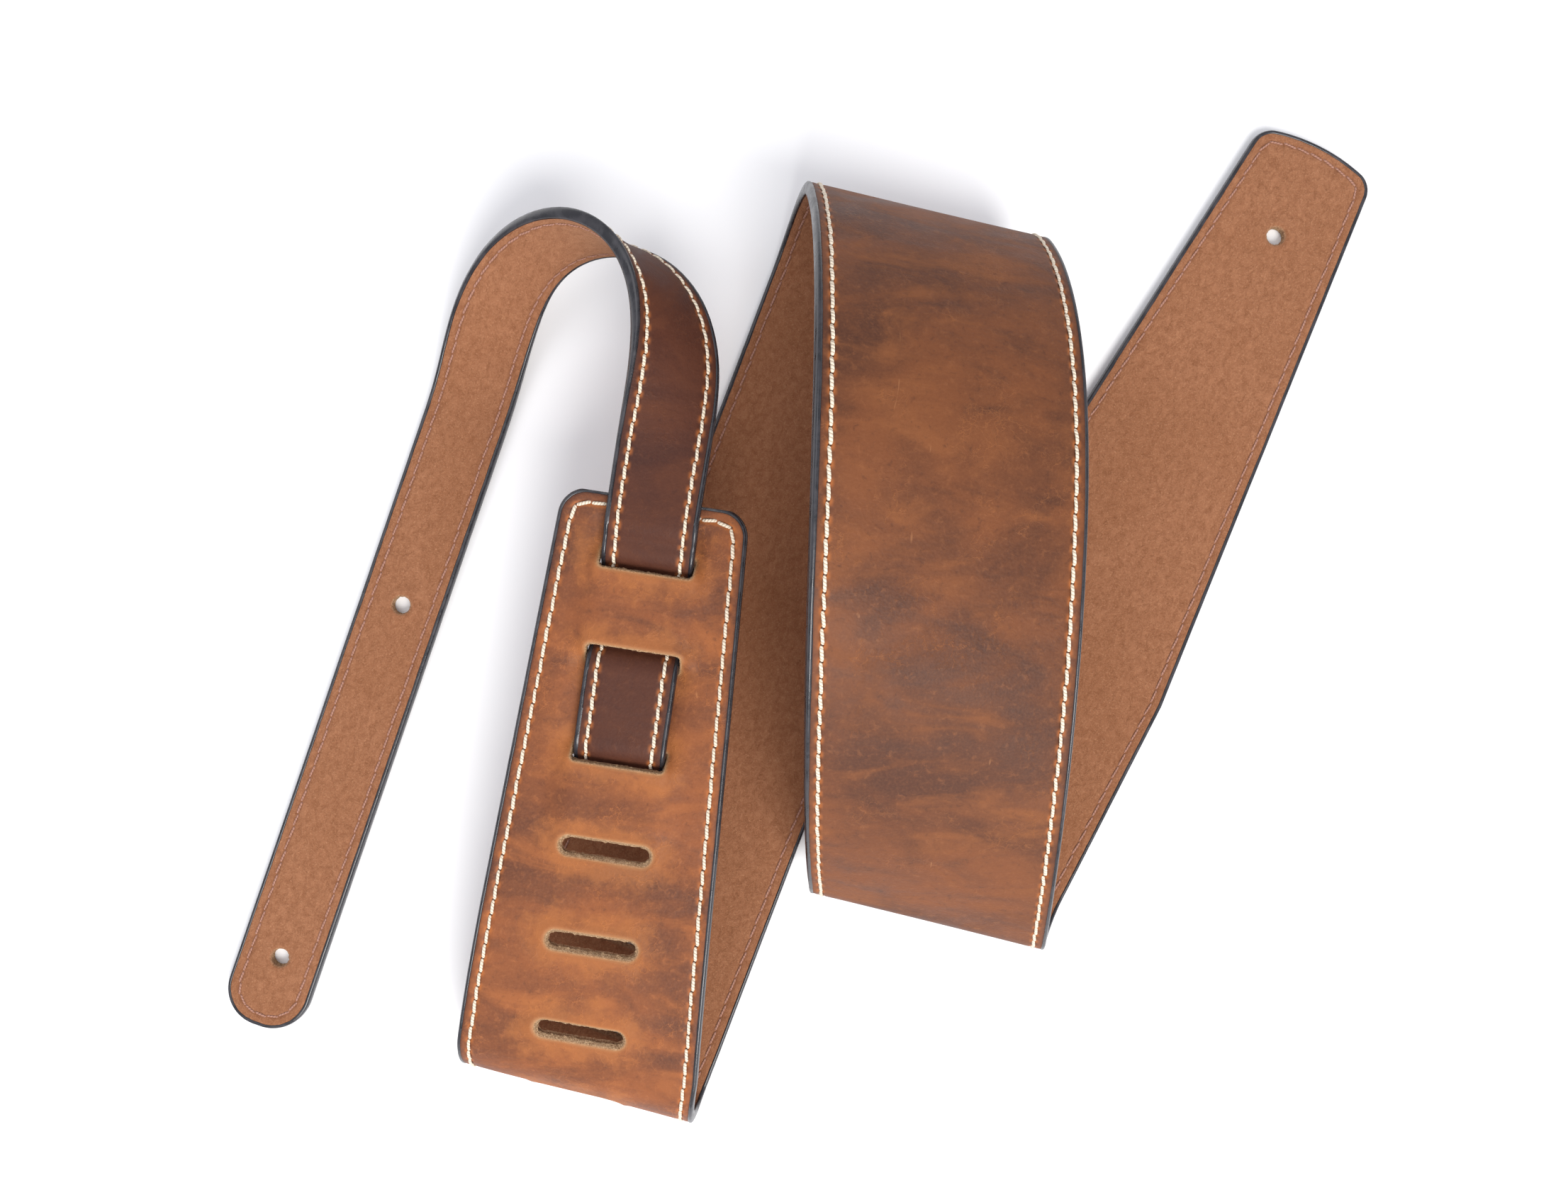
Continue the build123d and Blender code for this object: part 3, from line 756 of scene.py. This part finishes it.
def face_leather(name, pitch, darker):
    """Oiled pull-up leather: dark patches, lighter creases, halos at slots and stitches."""
    p = Paint(name)
    flat = p.read("flat", "Vector")
    edge = p.read("edge")
    rim = p.read("rim")
    raw = p.read("raw")
    clouds = p.noise(p.stretched(flat, (0.65, 1.0, 1.0)), 24.0, 5.0, 0.56, 0.5)
    patches = p.noise(p.stretched(flat, (0.42, 1.0, 1.0)), 88.0, 5.0, 0.54, 0.9)
    grit = p.noise(flat, 480.0, 5.0, 0.7, 0.4)
    fine = p.noise(flat, 1500.0, 3.0, 0.6)
    colour = p.mix(p.between(clouds, 0.36, 0.62), (0.130, 0.052, 0.027), (0.268, 0.098, 0.036))
    colour = p.mix(p.math("MULTIPLY", p.between(patches, 0.48, 0.74), 0.72), colour,
                   (0.370, 0.142, 0.048))
    colour = p.mix(p.math("MULTIPLY", p.between(patches, 0.50, 0.26), 0.62), colour,
                   (0.082, 0.036, 0.023))
    colour = p.mix(p.math("MULTIPLY", p.between(grit, 0.52, 0.72), 0.40), colour,
                   (0.400, 0.165, 0.062))
    colour = p.mix(p.math("MULTIPLY", p.between(grit, 0.46, 0.28), 0.45), colour,
                   (0.085, 0.036, 0.022))
    bent = p.noise(flat, 150.0, 4.0, 0.6, out=1)
    bent = p.add("ShaderNodeVectorMath", {0: bent, 3: 0.012}, operation="SCALE")
    bent = p.add("ShaderNodeVectorMath", {0: flat, 1: bent}, operation="ADD")
    cells = p.add("ShaderNodeTexVoronoi", {"Vector": bent, "Scale": 165.0},
                  feature="DISTANCE_TO_EDGE")
    net = p.between(cells, 0.036, 0.0)
    where = p.between(p.noise(flat, 60.0, 4.0, 0.6), 0.50, 0.64)
    near = p.math("MAXIMUM", where, p.between(rim, 9.0, 3.0))
    line = p.math("MULTIPLY", net, near)
    crease = p.noise(p.stretched(flat, (1.0, 0.6, 1.0)), 230.0, 7.0, 0.7, 1.6)
    thin = p.between(p.math("ABSOLUTE", p.math("SUBTRACT", crease, 0.5)), 0.012, 0.0)
    line = p.math("MAXIMUM", line, p.math("MULTIPLY", thin, where))
    colour = p.mix(p.math("MULTIPLY", line, 0.34), colour, (0.50, 0.200, 0.062))
    scratch = p.noise(p.stretched(flat, (1.0, 0.22, 1.0)), 230.0, 3.0, 0.45, 2.4)
    scratch = p.between(scratch, 0.735, 0.80)
    colour = p.mix(p.math("MULTIPLY", scratch, 0.40), colour, (0.60, 0.30, 0.125))
    colour = p.mix(p.math("MULTIPLY", p.between(fine, 0.35, 0.75), 0.16), colour,
                   (0.38, 0.165, 0.068))
    along = p.add("ShaderNodeSeparateXYZ", {0: flat}, out=1)
    if darker:
        colour = p.mix(1.0, p.mix(0.55, colour, (0.100, 0.036, 0.022)), (0.50, 0.43, 0.50),
                       "MULTIPLY")
    else:
        # painted shade: the face is multiplied darker from about 0.2 m along the strap on, over
        # the arch, where the same leather lies in more shade; the slotted end keeps a milder
        # tone
        painted_shade_along = p.mix(p.between(along, 0.20, 0.46), (0.90, 0.77, 0.73), (0.62, 0.56, 0.57))
        colour = p.mix(1.0, colour, painted_shade_along, "MULTIPLY")
    wander = p.math("MULTIPLY", p.math("SUBTRACT", p.noise(flat, 150.0, 5.0, 0.65), 0.5), 22.0)
    halo = p.between(p.math("ADD", rim, wander), 8.5, 0.5)
    colour = p.mix(p.math("MULTIPLY", halo, 0.50), colour, (0.40, 0.140, 0.040))
    phase = p.math("FRACT", p.math("DIVIDE", along, pitch * MM))
    to_hole = p.math("ABSOLUTE", p.math("SUBTRACT", phase, 0.5))
    off_seam = p.math("ABSOLUTE", p.math("SUBTRACT", edge, SEAM))
    glow = p.math("MULTIPLY", p.between(off_seam, 1.6, 0.3), p.between(to_hole, 0.10, 0.46))
    colour = p.mix(p.math("MULTIPLY", glow, 0.60), colour, (0.50, 0.155, 0.036))
    # painted shade: each needle hole is drawn as a near-black dot, the shade inside the hole
    pit = p.math("MULTIPLY", p.between(off_seam, 0.62, 0.30), p.between(to_hole, 0.40, 0.47))
    colour = p.mix(p.math("MULTIPLY", pit, 0.92), colour, (0.022, 0.008, 0.004))
    stain = p.between(p.math("ADD", edge, p.math("MULTIPLY", patches, 0.8)), 1.9, 1.0)
    colour = p.mix(p.math("MULTIPLY", stain, 0.55), colour, (0.045, 0.020, 0.016))
    worn = p.between(p.math("ADD", rim, p.math("MULTIPLY", patches, 1.2)), 2.0, 0.5)
    colour = p.mix(p.math("MULTIPLY", worn, 0.62), colour, (0.44, 0.24, 0.11))
    fibre = p.noise(flat, 2600.0, 4.0, 0.7, 1.0)
    tan = p.mix(p.between(fibre, 0.35, 0.65), (0.22, 0.115, 0.055), (0.62, 0.42, 0.25))
    colour = p.mix(raw, colour, tan)
    p.set("Base Color", colour)
    rough = p.between(patches, 0.3, 0.7, 0.50, 0.66)
    p.set("Roughness", p.mix(raw, rough, (0.95, 0.95, 0.95)))
    p.shader.inputs["Specular IOR Level"].default_value = 0.20
    grain = p.add("ShaderNodeTexVoronoi", {"Vector": flat, "Scale": 1250.0}, feature="F1")
    normal = p.bump(clouds, 0.35, 0.0012)
    normal = p.bump(line, 0.30, 0.00022, normal)
    normal = p.bump(grit, 0.35, 0.0003, normal)
    normal = p.bump(p.math("ADD", grain, fine), 0.28, 0.00012, normal)
    normal = p.bump(p.math("MULTIPLY", fibre, raw), 0.9, 0.0005, normal)
    p.set("Normal", normal)
    return p.material


def suede(name):
    """Brushed suede with a mottled nap."""
    p = Paint(name)
    flat = p.read("flat", "Vector")
    raw = p.read("raw")
    edge = p.read("edge")
    nap = p.noise(p.stretched(flat, (1.0, 0.7, 1.0)), 620.0, 6.0, 0.72, 0.7)
    broad = p.noise(flat, 30.0, 4.0, 0.55, 0.6)
    fuzz = p.noise(flat, 2300.0, 4.0, 0.7, 0.8)
    colour = p.mix(p.between(nap, 0.26, 0.74), (0.255, 0.101, 0.045), (0.410, 0.186, 0.094))
    colour = p.mix(p.math("MULTIPLY", p.between(broad, 0.42, 0.68), 0.32), colour,
                   (0.280, 0.112, 0.048))
    colour = p.mix(p.math("MULTIPLY", p.between(fuzz, 0.48, 0.75), 0.55), colour,
                   (0.60, 0.320, 0.175))
    colour = p.mix(p.math("MULTIPLY", p.between(fuzz, 0.45, 0.25), 0.5), colour,
                   (0.130, 0.048, 0.022))
    off_seam = p.math("ABSOLUTE", p.math("SUBTRACT", edge, SEAM))
    colour = p.mix(p.math("MULTIPLY", p.between(off_seam, 0.9, 0.2), 0.28), colour,
                   (0.16, 0.06, 0.030))
    tan = p.mix(p.between(fuzz, 0.35, 0.65), (0.25, 0.13, 0.065), (0.55, 0.36, 0.21))
    colour = p.mix(p.math("MULTIPLY", raw, 0.8), colour, tan)
    p.set("Base Color", p.mix(1.0, colour, (0.86, 0.82, 0.82), "MULTIPLY"))
    p.shader.inputs["Roughness"].default_value = 0.98
    p.shader.inputs["Specular IOR Level"].default_value = 0.12
    p.shader.inputs["Sheen Weight"].default_value = 0.14
    p.shader.inputs["Sheen Roughness"].default_value = 0.6
    p.shader.inputs["Sheen Tint"].default_value = (0.95, 0.72, 0.50, 1)
    normal = p.bump(nap, 0.6, 0.0004)
    normal = p.bump(fuzz, 0.75, 0.0003, normal)
    p.set("Normal", normal)
    return p.material


def edge_paint(name):
    """Glossy black paint with small runs and dull spots."""
    p = Paint(name)
    flat = p.read("flat", "Vector")
    runs = p.noise(flat, 260.0, 4.0, 0.6, 0.4)
    colour = p.mix(p.between(runs, 0.35, 0.7), (0.010, 0.010, 0.014), (0.030, 0.028, 0.034))
    p.set("Base Color", colour)
    p.set("Roughness", p.between(runs, 0.3, 0.75, 0.20, 0.42))
    p.shader.inputs["Specular IOR Level"].default_value = 0.6
    p.set("Normal", p.bump(runs, 0.35, 0.0003))
    return p.material


def thread(name, light, dark, gloss):
    """Twisted thread, with painted shade in the valleys between its plies."""
    p = Paint(name)
    twist = p.read("twist", "Vector")
    parts = p.tree.nodes.new("ShaderNodeSeparateXYZ")
    p.put(parts.inputs[0], twist)
    lay = p.math("ADD", p.math("MULTIPLY", parts.outputs[0], 1.15), parts.outputs[1])
    ply_wave = p.math("ABSOLUTE", p.math("SINE", p.math("MULTIPLY", lay, math.pi)))
    flat = p.read("flat", "Vector")
    lint = p.noise(flat, 2200.0, 3.0, 0.7)
    # painted shade: the valleys between the plies get the dark colour, the shade in the twist
    colour = p.mix(p.between(ply_wave, 0.0, 0.55), dark, light)
    colour = p.mix(p.math("MULTIPLY", p.between(lint, 0.4, 0.75), 0.3), colour, dark)
    p.set("Base Color", colour)
    p.shader.inputs["Roughness"].default_value = gloss
    p.shader.inputs["Specular IOR Level"].default_value = 0.3
    normal = p.bump(ply_wave, 0.55, 0.00025)
    p.set("Normal", p.bump(lint, 0.4, 0.0001, normal))
    return p.material


MATERIALS = {
    "main_face": face_leather("face_leather_main", MAIN_PITCH, False),
    "tail_face": face_leather("face_leather_tail", TAIL_PITCH, True),
    "suede": suede("suede"),
    "edge": edge_paint("edge_paint"),
    "top": thread("top_thread", (0.80, 0.70, 0.56), (0.42, 0.32, 0.22), 0.55),
    "bobbin": thread("bobbin_thread", (0.40, 0.205, 0.150), (0.20, 0.095, 0.065), 0.8),
}

# ---- the strap ----
main, slotted, tongue_flex, main_length = lay_main()
tail, tail_flex, tail_length = lay_tail(slotted)


def main_width(s):
    s = np.asarray(s, float)
    slotted_half = SLOT_END_WIDTH + (STRAP_WIDTH - SLOT_END_WIDTH) * np.minimum(
        s / SLOTTED_TAPER, 1)
    tongue_half = TONGUE_WIDTH + (STRAP_WIDTH - TONGUE_WIDTH) * np.minimum(
        (main_length - s) / TONGUE_TAPER, 1)
    return np.minimum(slotted_half, tongue_half) / 2


def tail_width(s):
    return np.full(np.shape(s), TAIL_WIDTH / 2)


def bridge_lift(u, s):
    """How far the bridges between the threaded slots are pushed up or down."""
    side = 1 - ease((np.abs(u) - SLOT_HALF_LENGTH) / 4.5)
    gap = SLOT_HALF_WIDTH
    stops = [(END_BAND, 0.0), (END_BAND + 3, -SHIFT)]
    level_now = -SHIFT
    for number in range(1, THREADED + 1):
        stops += [(slot_at(number) - gap, level_now), (slot_at(number) + gap, -level_now)]
        level_now = -level_now
    stops += [(slot_at(THREADED) + TAIL_HIDDEN + 0.5, level_now),
              (slot_at(THREADED + 1) - gap, 0.0)]
    rise = np.zeros(np.shape(s))
    for (a, low), (b, high) in zip(stops[:-1], stops[1:]):
        inside = (s >= a) & (s < b)
        rise = np.where(inside, low + (high - low) * ease((s - a) / (b - a)), rise)
    return rise * side


def no_lift(u, s):
    return np.zeros(np.shape(u))


slots = [Hole(slot_at(k), SLOT_HALF_LENGTH, SLOT_HALF_WIDTH,
              THREADED_CORNER if k <= THREADED else SLOT_HALF_WIDTH - 0.05)
         for k in range(1, SLOT_COUNT + 1)]
main_split = MAIN_PITCH * math.floor((tongue_flex[0] - 8) / MAIN_PITCH)
tail_split = TAIL_PITCH * math.floor((tail_flex[0] - 7) / TAIL_PITCH)


def button_hole(s):
    return Hole(s, HOLE_RADIUS, HOLE_RADIUS, HOLE_RADIUS - 0.02)


taper = (STRAP_WIDTH - TONGUE_WIDTH) / 2 / TONGUE_TAPER
widen = (STRAP_WIDTH - SLOT_END_WIDTH) / 2 / SLOTTED_TAPER
PARTS = {
    "main": (main, Cut(main_split, 0, False, main_width, SLOT_END_WIDTH, widen, 7.0, 0, slots),
             bridge_lift, "strap", None),
    "tongue": (main, Cut(main_split, main_length, True, main_width, TONGUE_WIDTH, taper, 6.0,
                         3.0, [button_hole(main_length - TONGUE_HOLE)]),
               no_lift, "tongue_end", tongue_flex),
    "tail": (tail, Cut(tail_split, 0, False, tail_width, TAIL_WIDTH, 0, 5.0, 0, []),
             no_lift, "strap", None),
    "tail_tip": (tail, Cut(tail_split, tail_length, True, tail_width, TAIL_WIDTH, 0, 10.5, 0,
                           [button_hole(tail_length - TAIL_HOLE),
                            button_hole(tail_length - TAIL_HOLE - TAIL_HOLE_PITCH)]),
                 no_lift, "tail_end", tail_flex),
}


def carry(obj, body, flex):
    """Lets a piece ride on its body; a piece with a flex line is only baked where it lies."""
    if flex is None:
        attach(obj, body)
        return
    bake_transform(obj)


for stretch, (walk, cut, lift, body, flex) in PARTS.items():
    low, high = (cut.split, cut.end) if cut.ahead else (cut.end, cut.split)
    rows = row_places(walk, low, high)
    flat_sheet = triangulate(cut, rows)
    of_main = stretch in ("main", "tongue")
    pitch = MAIN_PITCH if of_main else TAIL_PITCH
    face_finish = MATERIALS["main_face" if of_main else "tail_face"]
    face, area = ply(f"{stretch}_leather", walk, cut, flat_sheet, FACE, lift, face_finish)
    lining, _ = ply(f"{stretch}_suede", walk, cut, flat_sheet, -LINING, lift,
                    MATERIALS["suede"])
    paint = bead(f"{stretch}_edge", walk, cut, rows, lift, MATERIALS["edge"])
    top = stitches(f"{stretch}_stitches", walk, cut, pitch, True, lift, MATERIALS["top"])
    under = stitches(f"{stretch}_bobbin", walk, cut, pitch, False, lift, MATERIALS["bobbin"])
    named = [(face, "face", "face_leather"), (lining, "lining", "suede_lining"),
             (paint, "edge_coat", "edge_paint"), (top, "top_thread", "top_thread"),
             (under, "bobbin_thread", "bobbin_thread")]
    for piece, kind, slot in named:
        carry(piece, body, flex)
        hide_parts(f"{stretch}_{kind}")

# ---- floor, light and camera ----
floor_mesh = bpy.data.meshes.new("floor")
floor_mesh.from_pydata([(-4, -4, 0), (4, -4, 0), (4, 4, 0), (-4, 4, 0)], [], [(0, 1, 2, 3)])
floor = bpy.data.objects.new("floor", floor_mesh)
floor.location.z = -0.0002
bpy.context.scene.collection.objects.link(floor)
floor_paint = Paint("floor_paint")
floor_paint.set("Base Color", (0.95, 0.95, 0.955))
floor_paint.shader.inputs["Roughness"].default_value = 0.9
floor_paint.shader.inputs["Specular IOR Level"].default_value = 0.1
floor_mesh.materials.append(floor_paint.material)

world = bpy.data.worlds.new("studio")
bpy.context.scene.world = world
world.use_nodes = True
background = world.node_tree.nodes["Background"]
background.inputs["Color"].default_value = (0.93, 0.94, 1.0, 1)
background.inputs["Strength"].default_value = 0.70


def lamp(name, place, size, power, colour):
    light = bpy.data.lights.new(name, "AREA")
    light.shape = "DISK"
    light.size = size
    light.energy = power
    light.color = colour
    obj = bpy.data.objects.new(name, light)
    obj.location = place
    aim = Vector((0, 0, 0)) - Vector(place)
    obj.rotation_euler = aim.to_track_quat("-Z", "Y").to_euler()
    bpy.context.scene.collection.objects.link(obj)


lamp("key", (0.55, -0.95, 1.30), 1.1, 31.0, (1.0, 0.985, 0.96))
lamp("fill", (-0.9, 0.3, 1.5), 1.4, 7.0, (0.96, 0.97, 1.0))

lens = bpy.data.cameras.new("camera")
lens.sensor_fit = "HORIZONTAL"
lens.angle = math.radians(62.05)
lens.clip_start = 0.01
camera = bpy.data.objects.new("camera", lens)
camera.location = (-0.00362, -0.00143, 0.370)
camera.rotation_euler = (0, 0, math.radians(8.75))
bpy.context.scene.collection.objects.link(camera)
bpy.context.scene.camera = camera
bpy.context.scene.view_settings.view_transform = "Standard"
